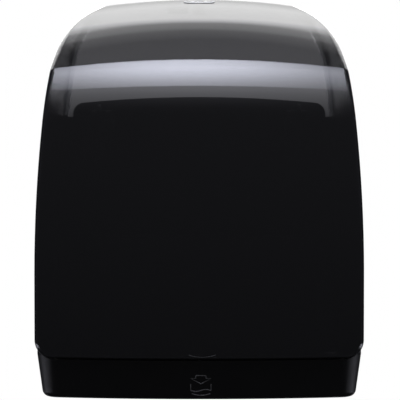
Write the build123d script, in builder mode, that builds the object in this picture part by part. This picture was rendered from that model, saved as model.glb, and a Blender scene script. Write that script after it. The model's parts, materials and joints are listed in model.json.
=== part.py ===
from build123d import *
import math
import os

# Overall size of the dispenser
overall_width = 321.6
overall_height = 417.6
overall_depth = 233.2
wall_screw_low = 95.0
wall_screw_drop = 132.6

# Walls, gaps and the overrun of cuts
cover_wall = 2.4
housing_wall = 2.6
panel_wall = 3.0
flange_reveal = 0.6
seat_gap = 0.8
parting_gap = 1.0
part_gap = 0.4
running_gap = 0.05
face_gap = 0.5
overrun = 5.0

# Cover: front outline, front face, shoulder and top
cover_lift = 39.0
side_straight_height = 120.0
side_radius = 1500.0
side_arc_angle = 14.0
top_corner_radius = 105.0
low_corner_radius = 18.0
crown_radius = 796.0
corner_rise = 17.0
crown_arc = 90.0
bow_radius = 690.0
bow_arc = 90.0
front_peak_height = 150.0
front_radius = 2000.0
shoulder_drop = 147.6
shoulder_radius = 109.6
crease_drop = 86.6
top_radius = 585.0
spare_angle = 8.0
edge_round = 7.0
cover_lip = 20.0

# Back housing: tray, window and wall screws
flange_depth = 12.0
tray_depth = 30.0
window_sill_drop = 106.6
window_shoulder_drop = 114.2
window_corner_radius = 13.0
window_step_inset = 20.3
window_step_drop = 129.1
lower_panel_inset = 1.2
lower_panel_rise = 3.0
tray_gate_inset = 27.3
wall_screw_spread = 150.0
wall_hole_radius = 2.75
wall_pad_radius = 9.0
wall_pad_lift = 2.0
rib_half = 42.0
rib_thickness = 2.4
rib_depth = 6.0
rib_low_height = 62.0
rib_high_drop = 125.6

# Clear arch over the window
arch_wall_start = 19.5
arch_wall_end = 50.0
arch_peg_radius = 1.2
arch_peg_length = 6.0
arch_peg_setback = 6.0

# Hinge of the cover
hinge_setback = 22.0
hinge_height = 14.0
hinge_pin_radius = 3.0
hinge_eye_radius = 8.0
hinge_boss_radius = 7.0
hinge_boss_inset = 5.8
hinge_boss_length = 9.0
hinge_bracket_length = 13.5
hinge_pin_depth = 6.0

# Lower skirt
skirt_reveal = 0.6
skirt_setback = 8.0
skirt_corner_radius = 26.0
skirt_height = 48.0
skirt_break_height = 42.0
skirt_taper = 8.0
skirt_wall = 2.6
skirt_low_round = 7.0
skirt_ledge = 15.0
skirt_screw_radius = 1.6
skirt_head_radius = 3.2
skirt_head_height = 2.2
skirt_screw_length = 9.0
skirt_boss_radius = 3.6
skirt_boss_length = 7.0
skirt_screw_inset = 14.5
skirt_screw_end = 42.8
skirt_screw_count = 5
skirt_hole_gap = 0.2
skirt_lip = 12.0
skirt_lip_clear = 40.0
skirt_rear = 5.0
skirt_ledge_inset = 24.8
skirt_swing_gap = 1.6

# Lock in the cover's top
lock_setback = 36.0
bezel_length = 34.0
bezel_width = 15.0
bezel_depth = 4.5
bezel_proud = 0.6
key_slot_offset = 11.5
key_slot_length = 6.0
key_slot_width = 3.0
key_slot_depth = 1.2
barrel_radius = 5.5
barrel_depth = 9.0
barrel_proud = 0.3
key_way_length = 6.5
key_way_width = 1.3
key_way_depth = 3.0
stud_radius = 3.5
stud_length = 6.0
tongue_reach = 19.0
tongue_width = 8.0
tongue_thickness = 2.5
nut_radius = 6.0
nut_height = 3.0
strike_offset = 12.0
strike_width = 22.0
strike_thickness = 2.0
strike_gap = 0.2
strike_root = 7.0
strike_lip_setback = 42.0
strike_drop = 21.0
strike_rivet_radius = 1.5
strike_rivet_head = 2.6
strike_rivet_head_height = 1.0
strike_rivet_inset = 4.5
strike_rivet_setback = 12.0
strike_rivet_pitch = 11.0

# Roll arms and core hubs
roll_setback = 115.0
roll_drop = 147.6
arm_offset = 15.0
arm_thickness = 5.0
arm_end_radius = 18.0
arm_root_half = 12.0
arm_root_setback = 9.0
arm_bend_setback = 30.0
pivot_inset = 39.8
pivot_setback = 16.0
pivot_pin_radius = 2.5
pivot_boss_radius = 6.8
pivot_head_radius = 4.0
pivot_head_height = 1.2
lug_thickness = 5.0
lug_half = 8.0
spring_room = 10.0
arm_spring_radius = 5.6
arm_spring_wall = 1.4
axle_radius = 6.0
clip_gap = 1.3
clip_radius = 8.2
clip_thickness = 1.2
hub_gap = 1.0
hub_flange_radius = 24.0
hub_flange_thickness = 3.0
hub_plug_radius = 17.5
hub_plug_taper = 1.5
hub_plug_length = 11.5
hub_rib_radius = 19.5
hub_rib_thickness = 2.0
hub_rib_count = 6

# Feed module: frame
module_inset = 45.8
plate_thickness = 3.0
plate_seat = 8.0
plate_front = 168.0
plate_low_height = 10.0
plate_high_height = 170.0
plate_front_round = 34.0
plate_corner_round = 8.0
flange_width = 14.0
frame_screw_low = 64.0
frame_screw_high = 138.0
frame_screw_radius = 1.8
frame_head_radius = 3.6
frame_head_height = 2.4
frame_boss_radius = 4.5
cross_reach_share = 0.6
cross_width_share = 0.14
cross_depth_share = 0.6
panel_skin = 2.4
front_panel_radius = 60.0
front_panel_high_angle = 72.0
front_panel_low_height = 36.0
guide_radius = 55.0
guide_start_angle = 140.0
guide_end_angle = 232.0
chute_top_setback = 116.0
chute_top_height = 50.0
chute_lip_setback = 141.0
chute_floor_height = 12.0
chute_rear_setback = 20.0
stripper_angle = -38.0
stripper_tip_radius = 46.6
stripper_bar_radius = 54.0
stripper_bar_size = 6.0
stripper_tip_size = 1.6
stripper_finger_width = 8.0
stripper_finger_count = 4

# Feed module: drum and its drive
drum_setback = 105.0
drum_height = 100.0
drum_radius = 45.0
drum_wall = 3.0
drum_end_gap = 7.0
cap_thickness = 4.0
shaft_radius = 5.0
shaft_end_gap = 1.5
shaft_proud = 3.0
bush_radius = 8.0
bush_flange_radius = 11.0
bush_flange_thickness = 1.5
band_width = 12.0
band_depth = 1.2
band_proud = 0.4
band_end = 24.0
band_count = 5
slot_end = 6.0
slot_width = 23.0
slot_shift = -3.5
knob_gap = 3.0
knob_radius = 31.0
knob_width = 16.0
knob_rim = 5.0
knob_web = 4.0
knob_hub_radius = 10.0
knob_grip_count = 18
knob_grip_radius = 2.6
case_radius = 30.0
case_depth = 15.0
case_wall = 2.0
case_lid = 2.4
case_lug_radius = 5.0
case_lug_ring = 33.0
case_lug_count = 3
case_screw_radius = 1.5
case_head_radius = 3.0
case_head_height = 1.8
spiral_radius = 6.0
spiral_step = 3.55
spiral_turns = 6
spiral_strip = 0.8
spiral_width = 9.0

# Feed module: knife inside the drum
knife_pivot_radial = 28.0
knife_pivot_drop = 22.0
knife_pin_radius = 2.0
knife_end = 8.0
knife_tip_radial = 41.0
knife_tip_rise = 4.0
knife_bar_thickness = 4.0
knife_bar_share = 0.72
knife_boss_radius = 3.8
blade_thickness = 0.8
blade_width = 13.0
blade_end = 4.0
rivet_radius = 2.4
rivet_height = 1.2
rivet_end = 16.0
rivet_count = 3
tooth_count = 48
tooth_depth = 1.6
follower_radial = 26.0
follower_drop = 8.0
follower_radius = 2.0
follower_hole_radius = 7.0
follower_hole_radial = 28.8
follower_arm_width = 5.0
follower_arm_thickness = 3.0
follower_gap = 0.6
cam_outer_radius = 40.0
cam_track_outer = 36.5
cam_track_inner = 23.5
cam_bore_radius = 16.0
cam_floor = 1.2
cam_wall_depth = 2.6

# Feed module: pinch roller
pinch_angle = 120.0
pinch_radius = 9.0
pinch_gap = 0.4
pinch_shaft_radius = 3.0
pinch_sleeve_gap = 18.0
pinch_end = 10.0
pinch_sleeve_count = 3
block_half = 6.0
block_thickness = 5.0
pinch_spring_radius = 3.4
pinch_spring_length = 12.0

# Heights worked out from the sizes above
wall_screw_pitch = overall_height - wall_screw_drop - wall_screw_low
underside_z = -wall_screw_low - wall_screw_pitch / 2
top_z = underside_z + overall_height
cover_low_z = underside_z + cover_lift
straight_z = underside_z + side_straight_height
peak_z = underside_z + front_peak_height
shoulder_z = top_z - shoulder_drop
crease_z = top_z - crease_drop
window_step_z = top_z - window_step_drop
hinge_z = underside_z + hinge_height
roll_z = top_z - roll_drop
drum_z = underside_z + drum_height
skirt_break_z = underside_z + skirt_break_height
skirt_ledge_z = cover_low_z - part_gap

# Places across the width, from the cover's side inwards
half_width = overall_width / 2
skirt_half = half_width - skirt_reveal
lower_panel_half = half_width - lower_panel_inset
lower_panel_top = cover_low_z + cover_wall + seat_gap + housing_wall
lower_panel_low = underside_z + lower_panel_rise
lower_panel_foot = lower_panel_half - (lower_panel_top - lower_panel_low) * math.tan(math.radians(skirt_taper))
tray_gate_half = half_width - tray_gate_inset
window_step_half = half_width - window_step_inset
skirt_ledge_half = half_width - skirt_ledge_inset
skirt_screw_spread = half_width - skirt_screw_end
hinge_boss_outer = half_width - hinge_boss_inset
hinge_boss_inner = hinge_boss_outer - hinge_boss_length
hinge_bracket_outer = hinge_boss_inner - face_gap
hinge_bracket_inner = hinge_bracket_outer - hinge_bracket_length
hinge_pin_outer = hinge_boss_inner + hinge_pin_depth
pivot_half = half_width - pivot_inset
arm_inner = pivot_half - arm_offset
hub_face = arm_inner - hub_gap - hub_flange_thickness
hub_plug_end = hub_face - hub_plug_length
axle_end = hub_plug_end - clip_gap - clip_thickness
module_half = half_width - module_inset
plate_outer = module_half + plate_thickness
knob_outer = plate_outer + knob_gap + knob_width
case_outer = plate_outer + case_depth
shaft_left = case_outer - shaft_end_gap
shaft_right = knob_outer + shaft_proud
drum_half = module_half - drum_end_gap
slot_half = drum_half - slot_end
band_pitch = 2 * (drum_half - band_end) / (band_count - 1)
knife_half = drum_half - knife_end
blade_half = knife_half - blade_end
rivet_pitch = 2 * (blade_half - rivet_end) / (rivet_count - 1)
follower_reach = module_half - cam_floor - follower_gap
pinch_sleeve_pitch = 2 * (module_half - pinch_end) / pinch_sleeve_count
pinch_sleeve_length = pinch_sleeve_pitch - pinch_sleeve_gap

# Insets and axes of the cover and tray
cover_rear = flange_depth + parting_gap
crown_axis_z = top_z - crown_radius
bow_axis = overall_depth - bow_radius
tray_inset = cover_wall + seat_gap
hollow_inset = tray_inset + housing_wall

# Centres of the side view's arcs, as distance from the wall and height
front_centre = Vector(overall_depth - front_radius, peak_z)
shoulder_angle = math.degrees(math.asin((shoulder_z - peak_z) / front_radius))
shoulder_step = Vector(front_radius - shoulder_radius, 0).rotate(Axis.Z, shoulder_angle)
shoulder_centre = front_centre + shoulder_step
crease_angle = math.degrees(math.asin((crease_z - shoulder_centre.Y) / shoulder_radius))
crease_point = shoulder_centre + Vector(shoulder_radius, 0).rotate(Axis.Z, crease_angle)
rear_point = Vector(cover_rear, top_z)
top_chord = rear_point - crease_point
top_sag = math.sqrt(top_radius**2 - (top_chord.length / 2) ** 2)
top_centre = (rear_point + crease_point) * 0.5 + top_chord.normalized().rotate(Axis.Z, 90) * top_sag
top_low_angle = math.degrees(math.atan2(crease_point.Y - top_centre.Y, crease_point.X - top_centre.X))
top_high_angle = math.degrees(math.atan2(rear_point.Y - top_centre.Y, rear_point.X - top_centre.X))

# Sketch planes that the revolved faces start from
bow_start = Vector(0, -1, 0).rotate(Axis.Z, -bow_arc / 2)
bow_plane = Plane((0, -bow_axis, 0), x_dir=bow_start, z_dir=bow_start.cross(Vector(0, 0, 1)))
crown_start = Vector(0, 0, 1).rotate(Axis.Y, -crown_arc / 2)
crown_plane = Plane((0, 0, crown_axis_z), x_dir=(0, -1, 0), z_dir=Vector(0, -1, 0).cross(crown_start))


def side_plane(x):
    """Side view at x: first coordinate is the distance from the wall, second the height."""
    return Plane((x, 0, 0), x_dir=(0, -1, 0), z_dir=(-1, 0, 0))


def outline(inset, crowned):
    """Front outline of the cover, drawn in by inset; crowned closes it with the arch of the top."""
    half = half_width - inset
    low = cover_low_z + inset
    with BuildSketch() as shape:
        with BuildLine():
            Polyline((-half, straight_z), (-half, low), (half, low), (half, straight_z))
            right = CenterArc((half_width - side_radius, straight_z), side_radius - inset, 0, side_arc_angle)
            left = CenterArc((side_radius - half_width, straight_z), side_radius - inset, 180, -side_arc_angle)
            Line(right @ 1, left @ 1)
        make_face()
        with Locations((0, crown_axis_z)):
            Circle(crown_radius + corner_rise - inset, mode=Mode.INTERSECT)
        fillet(shape.vertices().sort_by(Axis.Y)[-2:], top_corner_radius - inset)
        fillet(shape.vertices().sort_by(Axis.Y)[:2], low_corner_radius - inset)
        if crowned:
            with Locations((0, crown_axis_z)):
                Circle(crown_radius - inset, mode=Mode.INTERSECT)
    return shape.sketch


def front_profile(inset):
    """Side profile of the front face and shoulder, as distance from the bow's axis and height."""
    low_angle = math.degrees(math.asin((peak_z - cover_low_z + overrun) / front_radius))
    with BuildSketch() as shape:
        with BuildLine():
            lower = CenterArc(
                (front_centre.X - bow_axis, front_centre.Y),
                front_radius - inset,
                -low_angle,
                low_angle + shoulder_angle,
            )
            upper = CenterArc(
                (shoulder_centre.X - bow_axis, shoulder_centre.Y),
                shoulder_radius - inset,
                shoulder_angle,
                crease_angle + 2 * spare_angle - shoulder_angle,
            )
            brim = upper @ 1
            foot = lower @ 0
            Polyline(brim, (brim.X, top_z + overrun), (0, top_z + overrun), (0, foot.Y), foot)
        make_face()
    return shape.sketch


def top_profile(inset):
    """Side profile of the sloping top, as distance from the wall and height over the crown's axis."""
    with BuildSketch() as shape:
        with BuildLine():
            ridge = CenterArc(
                (top_centre.X, top_centre.Y - crown_axis_z),
                top_radius - inset,
                top_low_angle - spare_angle,
                top_high_angle - top_low_angle + 2 * spare_angle,
            )
            Polyline(ridge @ 1, ((ridge @ 1).X, 0), ((ridge @ 0).X, 0), ridge @ 0)
        make_face()
    return shape.sketch


def cover_form(inset, rear):
    """Rounded body of the cover, drawn in by inset, from the distance rear in front of the wall."""
    with BuildPart() as form:
        with BuildSketch(Plane.XZ.offset(rear)):
            add(outline(inset, False))
        extrude(amount=overall_depth)
        with BuildSketch(bow_plane):
            add(front_profile(inset))
        revolve(axis=Axis((0, -bow_axis, 0), (0, 0, 1)), revolution_arc=bow_arc, mode=Mode.INTERSECT)
        with BuildSketch(crown_plane):
            add(top_profile(inset))
        revolve(axis=Axis((0, 0, crown_axis_z), (0, 1, 0)), revolution_arc=crown_arc, mode=Mode.INTERSECT)
        skin = form.faces().filter_by(GeomType.REVOLUTION) + form.faces().filter_by(GeomType.TORUS)
        sides = form.faces().filter_by(GeomType.PLANE) + form.faces().filter_by(GeomType.CYLINDER)
        rear_face = form.faces().sort_by(Axis.Y)[-1]
        rim = [edge for edge in skin.edges() if edge in sides.edges() and edge not in rear_face.edges()]
        fillet(rim, edge_round - inset)
    return form.part


def tray_form(inset, start, depth):
    """Body of the tray that the cover closes over, drawn in by inset."""
    with BuildPart() as form:
        with BuildSketch(Plane.XZ.offset(start)):
            add(outline(inset, True))
        extrude(amount=depth)
        with BuildSketch(crown_plane):
            add(top_profile(inset))
        revolve(axis=Axis((0, 0, crown_axis_z), (0, 1, 0)), revolution_arc=crown_arc, mode=Mode.INTERSECT)
    return form.part


def skirt_form(inset, spare):
    """Body of the lower skirt, drawn in by inset and longer by spare at both ends."""
    with BuildPart() as form:
        with BuildSketch(Plane.XY.offset(skirt_break_z)) as plan:
            with Locations((0, -bow_axis)):
                Circle(bow_radius - skirt_setback - inset)
            with Locations((0, -overall_depth / 4)):
                Rectangle(2 * (skirt_half - inset), overall_depth * 3 / 2, mode=Mode.INTERSECT)
            fillet(plan.vertices().sort_by(Axis.Y)[:2], skirt_corner_radius - inset)
        extrude(amount=skirt_height - skirt_break_height + spare)
        extrude(plan.sketch, amount=-skirt_break_height - spare, taper=skirt_taper)
        split(bisect_by=Plane.XZ.offset(skirt_rear), keep=Keep.TOP)
    return form.part


def radial_plane(x, angle):
    """Side view at x about the drum's axis, with its first coordinate along the given angle."""
    turn = math.radians(angle)
    direction = Vector(0, -math.cos(turn), math.sin(turn))
    return Plane((x, -drum_setback, drum_z), x_dir=direction, z_dir=(-1, 0, 0))


def spaced(count, pitch):
    """Centred row of count places, pitch apart."""
    return [pitch * (index - (count - 1) / 2) for index in range(count)]


def cross_slot(head_radius):
    """Cross recess for a screwdriver in a head of the given radius."""
    with BuildSketch() as shape:
        for turn in (0, 90):
            Rectangle(
                2 * head_radius * cross_reach_share, 2 * head_radius * cross_width_share, rotation=turn
            )
    return shape.sketch


# Lock axis, square to the sloping top
lock_rise = math.sqrt(top_radius**2 - (lock_setback - top_centre.X) ** 2)
lock_normal = Vector(0, top_centre.X - lock_setback, lock_rise).normalized()
lock_plane = Plane((0, -lock_setback, top_centre.Y + lock_rise), x_dir=(1, 0, 0), z_dir=lock_normal)

# Screws that join skirt and cover, along the bow of the front
skirt_screw_ring = bow_radius - skirt_screw_inset
skirt_screw_places = [
    (x, -bow_axis - math.sqrt(skirt_screw_ring**2 - x**2))
    for x in spaced(skirt_screw_count, 2 * skirt_screw_spread / (skirt_screw_count - 1))
]

# Smoke cover
cover_outer = cover_form(0, cover_rear)
cover_inner = cover_form(cover_wall, cover_rear - overrun)
with BuildPart() as cover_shell:
    add(cover_outer)
    add(cover_inner, mode=Mode.SUBTRACT)
    with BuildSketch(Plane.XY.offset(cover_low_z - overrun)):
        with Locations((0, -bow_axis)):
            Circle(bow_radius - cover_lip)
        with Locations((0, -overall_depth / 2)):
            Rectangle(2 * (half_width - low_corner_radius), overall_depth, mode=Mode.INTERSECT)
    extrude(amount=2 * overrun, mode=Mode.SUBTRACT)
    with BuildSketch(Plane.XY.offset(cover_low_z - overrun)):
        with Locations(skirt_screw_places):
            Circle(skirt_screw_radius + skirt_hole_gap)
    extrude(amount=2 * overrun, mode=Mode.SUBTRACT)
    with BuildSketch(lock_plane.offset(-bezel_depth)):
        SlotOverall(bezel_length, bezel_width)
    extrude(amount=bezel_depth + overrun, mode=Mode.SUBTRACT)

# Lower skirt, with its ledge, screw bosses and hinge bosses
skirt_outer = skirt_form(0, 0)
skirt_inner = split(
    skirt_form(skirt_wall, overrun),
    bisect_by=Plane.XY.offset(underside_z + skirt_wall),
    keep=Keep.TOP,
    mode=Mode.PRIVATE,
)
skirt_mouth = skirt_form(skirt_lip, overrun)
with BuildPart() as cover_room:
    with BuildSketch(Plane.XZ):
        add(outline(-part_gap, False))
    extrude(amount=overall_depth)
    with BuildSketch(Plane.XZ):
        add(outline(-skirt_swing_gap, False))
    extrude(amount=cover_rear)
with BuildPart() as lower_skirt:
    add(skirt_outer)
    fillet(lower_skirt.faces().sort_by(Axis.Z)[0].edges().sort_by(Axis.Y)[:-1], skirt_low_round)
    add(skirt_inner, mode=Mode.SUBTRACT)
    add(skirt_mouth, mode=Mode.SUBTRACT)
    with BuildSketch(Plane.XY.offset(underside_z - overrun)):
        with Locations((0, -skirt_lip_clear / 2)):
            Rectangle(2 * hinge_pin_outer, skirt_lip_clear)
    extrude(amount=skirt_wall + overrun, mode=Mode.SUBTRACT)
    add(cover_room.part, mode=Mode.SUBTRACT)
    with BuildSketch(side_plane(half_width)):
        Polygon(
            (0, hinge_z),
            (hinge_setback, hinge_z),
            (hinge_setback, underside_z - overrun),
            (0, underside_z - overrun),
            align=None,
        )
        with Locations((hinge_setback, hinge_z)):
            Circle(hinge_setback - panel_wall - part_gap, mode=Mode.SUBTRACT)
    extrude(amount=overall_width, mode=Mode.SUBTRACT)
    with BuildSketch(Plane.XY.offset(skirt_ledge_z)):
        with Locations((0, -bow_axis)):
            Circle(bow_radius - skirt_setback - skirt_wall)
            Circle(bow_radius - skirt_setback - skirt_ledge, mode=Mode.SUBTRACT)
        with Locations((0, -overall_depth / 2)):
            Rectangle(2 * skirt_ledge_half, overall_depth, mode=Mode.INTERSECT)
    extrude(amount=-skirt_wall)
    with BuildSketch(Plane.XY.offset(skirt_ledge_z)):
        with Locations(skirt_screw_places):
            Circle(skirt_boss_radius)
    extrude(amount=-skirt_wall - skirt_boss_length)
    with BuildSketch(Plane.XY.offset(skirt_ledge_z)):
        with Locations(skirt_screw_places):
            Circle(skirt_screw_radius + running_gap)
    extrude(amount=-skirt_wall - skirt_boss_length, mode=Mode.SUBTRACT)
    for side in (-1, 1):
        with BuildSketch(side_plane(side * hinge_boss_inner)):
            with Locations((hinge_setback, hinge_z)):
                Circle(hinge_boss_radius)
        extrude(amount=-side * (hinge_boss_outer - hinge_boss_inner))
        with BuildSketch(side_plane(side * hinge_boss_inner)):
            with Locations((hinge_setback, hinge_z)):
                Circle(hinge_pin_radius + running_gap)
        extrude(amount=-side * (hinge_pin_outer + face_gap - hinge_boss_inner), mode=Mode.SUBTRACT)

# Screws between cover and skirt
with BuildPart() as skirt_screws:
    with BuildSketch(Plane.XY.offset(cover_low_z + cover_wall)):
        with Locations(skirt_screw_places):
            Circle(skirt_head_radius)
    extrude(amount=skirt_head_height)
    with BuildSketch(Plane.XY.offset(cover_low_z + cover_wall)):
        with Locations(skirt_screw_places):
            Circle(skirt_screw_radius)
    extrude(amount=-skirt_screw_length)
    with BuildSketch(Plane.XY.offset(cover_low_z + cover_wall + skirt_head_height)):
        with Locations(skirt_screw_places):
            add(cross_slot(skirt_head_radius))
    extrude(amount=-skirt_head_height * cross_depth_share, mode=Mode.SUBTRACT)

# Lock bezel, barrel, tongue and nut
with BuildPart() as lock_bezel:
    with BuildSketch(lock_plane.offset(bezel_proud)):
        SlotOverall(bezel_length, bezel_width)
    extrude(amount=-bezel_proud - bezel_depth)
    fillet(lock_bezel.faces().sort_by(Axis.Z)[-1].edges(), bezel_proud / 2)
    with BuildSketch(lock_plane.offset(bezel_proud)):
        Circle(barrel_radius + running_gap)
    extrude(amount=-bezel_proud - bezel_depth, mode=Mode.SUBTRACT)
    with BuildSketch(lock_plane.offset(bezel_proud)):
        with Locations((-key_slot_offset, 0), (key_slot_offset, 0)):
            Rectangle(key_slot_length, key_slot_width)
    extrude(amount=-key_slot_depth, mode=Mode.SUBTRACT)

with BuildPart() as lock_barrel:
    with BuildSketch(lock_plane.offset(barrel_proud)):
        Circle(barrel_radius)
    extrude(amount=-barrel_proud - barrel_depth)
    with BuildSketch(lock_plane.offset(-barrel_depth)):
        Circle(stud_radius)
    extrude(amount=-stud_length)
    with BuildSketch(lock_plane.offset(barrel_proud)):
        Rectangle(key_way_length, key_way_width)
    extrude(amount=-key_way_depth, mode=Mode.SUBTRACT)

with BuildPart() as lock_tongue:
    with BuildSketch(lock_plane.offset(-barrel_depth)):
        with Locations((0, tongue_reach / 2)):
            Rectangle(tongue_width, tongue_reach)
        Circle(barrel_radius)
        Circle(stud_radius, mode=Mode.SUBTRACT)
    extrude(amount=-tongue_thickness)

with BuildPart() as lock_nut:
    with BuildSketch(lock_plane.offset(-barrel_depth - tongue_thickness)):
        RegularPolygon(nut_radius, 6)
        Circle(stud_radius, mode=Mode.SUBTRACT)
    extrude(amount=-nut_height)

# Back housing: flange, tray, window, hinge brackets and arm lugs
tray_outer = tray_form(tray_inset, 0, tray_depth)
tray_hollow = tray_form(hollow_inset, panel_wall, tray_depth)
wall_screw_places = [
    (x, z) for x in spaced(2, wall_screw_spread) for z in spaced(2, wall_screw_pitch)
]
frame_screw_half = plate_outer + flange_width / 2
frame_screw_places = [
    (side * frame_screw_half, underside_z + height)
    for side in (-1, 1)
    for height in (frame_screw_low, frame_screw_high)
]
arm_low_z = roll_z - arm_root_half
arm_high_z = roll_z + arm_root_half
lug_levels = (arm_high_z + face_gap, arm_low_z - spring_room - lug_thickness)
pivot_places = [(-pivot_half, -pivot_setback), (pivot_half, -pivot_setback)]
strike_inset = hollow_inset + strike_gap
strike_middle = strike_offset + strike_width / 2
strike_rivet_x = strike_offset + strike_width - strike_rivet_inset
strike_rivet_places = [
    (-strike_rivet_x, -strike_rivet_setback),
    (-strike_rivet_x, -strike_rivet_setback - strike_rivet_pitch),
]
arch_peg_reach = math.sqrt(side_radius**2 - (window_step_z - straight_z) ** 2)
arch_peg_x = half_width - side_radius + arch_peg_reach - (flange_reveal + hollow_inset) / 2
arch_peg_places = [(x, -arch_peg_setback) for x in (-arch_peg_x, arch_peg_x)]
rib_low_z = underside_z + rib_low_height
rib_high_z = top_z - rib_high_drop
with BuildPart() as back_housing:
    add(tray_outer)
    with BuildSketch(Plane.XZ):
        add(outline(flange_reveal, True))
    extrude(amount=flange_depth)
    add(tray_hollow, mode=Mode.SUBTRACT)
    with BuildSketch(Plane.XZ.offset(panel_wall)):
        with Locations((0, cover_low_z + hollow_inset / 2)):
            Rectangle(2 * tray_gate_half, hollow_inset + 2 * overrun)
    extrude(amount=tray_depth, mode=Mode.SUBTRACT)
    with BuildSketch(Plane.XZ.offset(flange_depth)):
        with Locations((0, cover_low_z)):
            Rectangle(overall_width, 2 * low_corner_radius)
    extrude(amount=tray_depth, mode=Mode.SUBTRACT)
    with BuildSketch(Plane.XZ):
        Polygon(
            (-lower_panel_half, lower_panel_top),
            (lower_panel_half, lower_panel_top),
            (lower_panel_foot, lower_panel_low),
            (-lower_panel_foot, lower_panel_low),
            align=None,
        )
    extrude(amount=panel_wall)
    with BuildSketch(Plane.XZ.offset(-overrun)) as window:
        with BuildLine():
            sill = ThreePointArc(
                (-window_step_half, top_z - window_shoulder_drop),
                (0, top_z - window_sill_drop),
                (window_step_half, top_z - window_shoulder_drop),
            )
            Polyline(
                sill @ 1,
                (window_step_half, window_step_z),
                (overall_width, window_step_z),
                (overall_width, top_z + overrun),
                (-overall_width, top_z + overrun),
                (-overall_width, window_step_z),
                (-window_step_half, window_step_z),
                sill @ 0,
            )
        make_face()
        fillet(window.vertices().group_by(Axis.Y)[1], window_corner_radius)
    extrude(amount=tray_depth + 2 * overrun, mode=Mode.SUBTRACT)
    with BuildSketch(Plane.XY.offset(window_step_z)):
        with Locations(arch_peg_places):
            Circle(arch_peg_radius + running_gap)
    extrude(amount=-arch_peg_length - part_gap, mode=Mode.SUBTRACT)
    with BuildSketch(Plane.XZ.offset(panel_wall)):
        for x in (-rib_half, rib_half):
            with Locations((x, (rib_low_z + rib_high_z) / 2)):
                Rectangle(rib_thickness, rib_high_z - rib_low_z)
    extrude(amount=rib_depth)
    with BuildSketch(Plane.XZ.offset(panel_wall)):
        with Locations(wall_screw_places):
            Circle(wall_pad_radius)
    extrude(amount=wall_pad_lift)
    with BuildSketch(Plane.XZ.offset(-overrun)):
        with Locations(wall_screw_places):
            Circle(wall_hole_radius)
    extrude(amount=panel_wall + wall_pad_lift + 2 * overrun, mode=Mode.SUBTRACT)
    with BuildSketch(Plane.XZ.offset(panel_wall)):
        with Locations(frame_screw_places):
            Circle(frame_boss_radius)
    extrude(amount=plate_seat - panel_wall)
    with BuildSketch(Plane.XZ.offset(panel_wall)):
        with Locations(frame_screw_places):
            Circle(frame_screw_radius + running_gap)
    extrude(amount=plate_seat - panel_wall, mode=Mode.SUBTRACT)
    for side in (-1, 1):
        with BuildSketch(side_plane(side * hinge_bracket_inner)):
            with Locations((hinge_setback, hinge_z)):
                Circle(hinge_eye_radius)
            with Locations((hinge_setback / 2, hinge_z)):
                Rectangle(hinge_setback, 2 * hinge_eye_radius)
            with Locations((hinge_setback, hinge_z)):
                Circle(hinge_pin_radius, mode=Mode.SUBTRACT)
        extrude(amount=-side * (hinge_bracket_outer - hinge_bracket_inner))
    for level in lug_levels:
        with BuildSketch(Plane.XY.offset(level)):
            with Locations(pivot_places):
                Circle(lug_half)
            for x in (-pivot_half, pivot_half):
                with Locations((x, -pivot_setback / 2)):
                    Rectangle(2 * lug_half, pivot_setback)
            with Locations(pivot_places):
                Circle(pivot_pin_radius, mode=Mode.SUBTRACT)
        extrude(amount=lug_thickness)

# Clear arch over the window, plugged into the housing, with the wall that carries the strike
with BuildPart() as top_arch:
    add(tray_outer)
    with BuildSketch(Plane.XZ):
        with Locations((-(arch_wall_start + arch_wall_end) / 2, top_z - strike_drop / 2)):
            Rectangle(arch_wall_end - arch_wall_start, strike_drop)
    extrude(amount=tray_depth, mode=Mode.INTERSECT)
    with BuildSketch(Plane.XZ):
        add(outline(flange_reveal, True))
        with Locations((0, (top_z + window_step_z) / 2)):
            Rectangle(overall_width, top_z - window_step_z, mode=Mode.INTERSECT)
    extrude(amount=flange_depth)
    add(tray_form(hollow_inset, 0, tray_depth), mode=Mode.SUBTRACT)
    with BuildSketch(Plane.XY.offset(window_step_z - arch_peg_length)):
        with Locations(arch_peg_places):
            Circle(arch_peg_radius)
    extrude(amount=2 * arch_peg_length)
    with BuildSketch(Plane.XY.offset(top_z - strike_drop)):
        with Locations(strike_rivet_places):
            Circle(strike_rivet_radius + running_gap)
    extrude(amount=strike_drop + overrun, mode=Mode.SUBTRACT)

# Strike for the lock under the arch's wall, and its rivets
with BuildPart() as lock_strike:
    add(tray_form(strike_inset, strike_root, strike_lip_setback - strike_root))
    with BuildSketch(Plane.XZ):
        with Locations((-strike_middle, top_z - strike_drop / 2)):
            Rectangle(strike_width, strike_drop)
    extrude(amount=overall_depth, mode=Mode.INTERSECT)
    add(
        tray_form(strike_inset + strike_thickness, 0, strike_lip_setback - strike_thickness),
        mode=Mode.SUBTRACT,
    )
    with BuildSketch(Plane.XY.offset(top_z - strike_drop)):
        with Locations(strike_rivet_places):
            Circle(strike_rivet_radius + running_gap)
    extrude(amount=strike_drop, mode=Mode.SUBTRACT)

with BuildPart() as strike_rivets:
    with BuildSketch(Plane.XY.offset(top_z - strike_drop)):
        with Locations(strike_rivet_places):
            Circle(strike_rivet_radius)
    extrude(amount=strike_drop)
    add(tray_form(tray_inset + strike_gap, 0, tray_depth), mode=Mode.INTERSECT)
    add(
        tray_form(strike_inset + strike_thickness + strike_rivet_head_height, 0, tray_depth),
        mode=Mode.SUBTRACT,
    )
    with BuildSketch(Plane.XY.offset(top_z - strike_drop)) as heads:
        with Locations(strike_rivet_places):
            Circle(strike_rivet_head)
    with BuildPart(mode=Mode.PRIVATE) as head_blocks:
        extrude(heads.sketch, amount=strike_drop)
        add(tray_form(strike_inset + strike_thickness, 0, tray_depth), mode=Mode.INTERSECT)
        add(
            tray_form(strike_inset + strike_thickness + strike_rivet_head_height, 0, tray_depth),
            mode=Mode.SUBTRACT,
        )
    add(head_blocks.part)

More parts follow.
